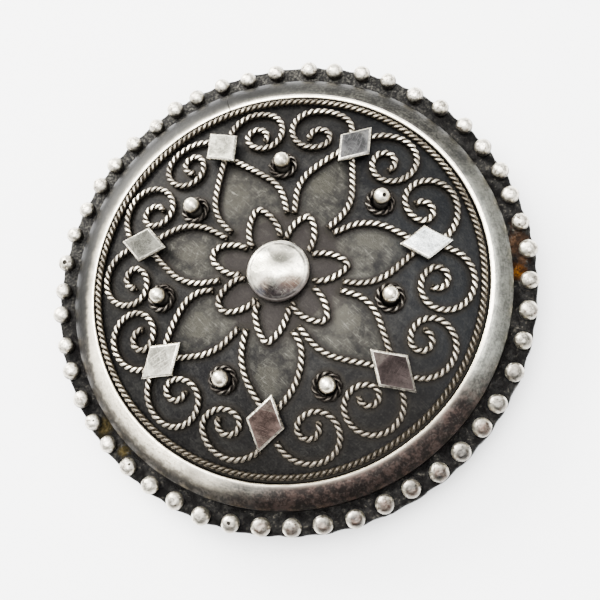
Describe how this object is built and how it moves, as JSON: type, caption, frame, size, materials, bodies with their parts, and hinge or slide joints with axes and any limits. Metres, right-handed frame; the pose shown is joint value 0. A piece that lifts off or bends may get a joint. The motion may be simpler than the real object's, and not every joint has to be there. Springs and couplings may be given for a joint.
{
  "type": "filigree brooch",
  "caption": "Round brooch: a domed dark silver plate in a plain bezel, with twisted-wire scrolls, petals and a rosette, flat lozenges, granules, a centre boss and a beaded border.",
  "frame": {"origin": "under the middle of the brooch, on the surface that it lies on", "axes": "+Z out of the brooch's face, +X along the pin to the picture's right, +Y towards the picture's top"},
  "size_m": [0.0442, 0.0442, 0.0097],
  "materials": {
    "flange_metal": "oxidised silver, dark and rough",
    "plate_metal": "oxidised silver, dark grey, lightly scratched",
    "bezel_metal": "silver, brushed and tarnished, bright on the crown",
    "bead_metal": "silver, worn bright on top",
    "wire_metal": "silver wire, bright on top, dark in the twist",
    "lozenge_metal": "silver, satin, worn",
    "granule_metal": "silver, polished by wear",
    "boss_metal": "silver, hammered and polished by wear",
    "pin_metal": "silver feet and stem, satin"
  },
  "bodies": {
    "root": {"back_plate": "flange_metal", "border_beads": "bead_metal", "bezel_ring": "bezel_metal", "dome_plate": "plate_metal", "rope_ring": "wire_metal", "petal_1": "wire_metal", "petal_2": "wire_metal", "petal_3": "wire_metal", "petal_4": "wire_metal", "petal_5": "wire_metal", "petal_6": "wire_metal", "petal_7": "wire_metal", "scroll_1": "wire_metal", "scroll_2": "wire_metal", "scroll_3": "wire_metal", "scroll_4": "wire_metal", "scroll_5": "wire_metal", "scroll_6": "wire_metal", "scroll_7": "wire_metal", "scroll_8": "wire_metal", "scroll_9": "wire_metal", "scroll_10": "wire_metal", "scroll_11": "wire_metal", "scroll_12": "wire_metal", "scroll_13": "wire_metal", "scroll_14": "wire_metal", "rosette_1": "wire_metal", "rosette_2": "wire_metal", "rosette_3": "wire_metal", "rosette_4": "wire_metal", "rosette_5": "wire_metal", "rosette_6": "wire_metal", "rosette_7": "wire_metal", "lozenge_1": "lozenge_metal", "lozenge_2": "lozenge_metal", "lozenge_3": "lozenge_metal", "lozenge_4": "lozenge_metal", "lozenge_5": "lozenge_metal", "lozenge_6": "lozenge_metal", "lozenge_7": "lozenge_metal", "granule_1": "granule_metal", "granule_2": "granule_metal", "granule_3": "granule_metal", "granule_4": "granule_metal", "granule_5": "granule_metal", "granule_6": "granule_metal", "granule_7": "granule_metal", "boss": "boss_metal", "pin_clasp": "pin_metal"}
  },
  "joints": []
}
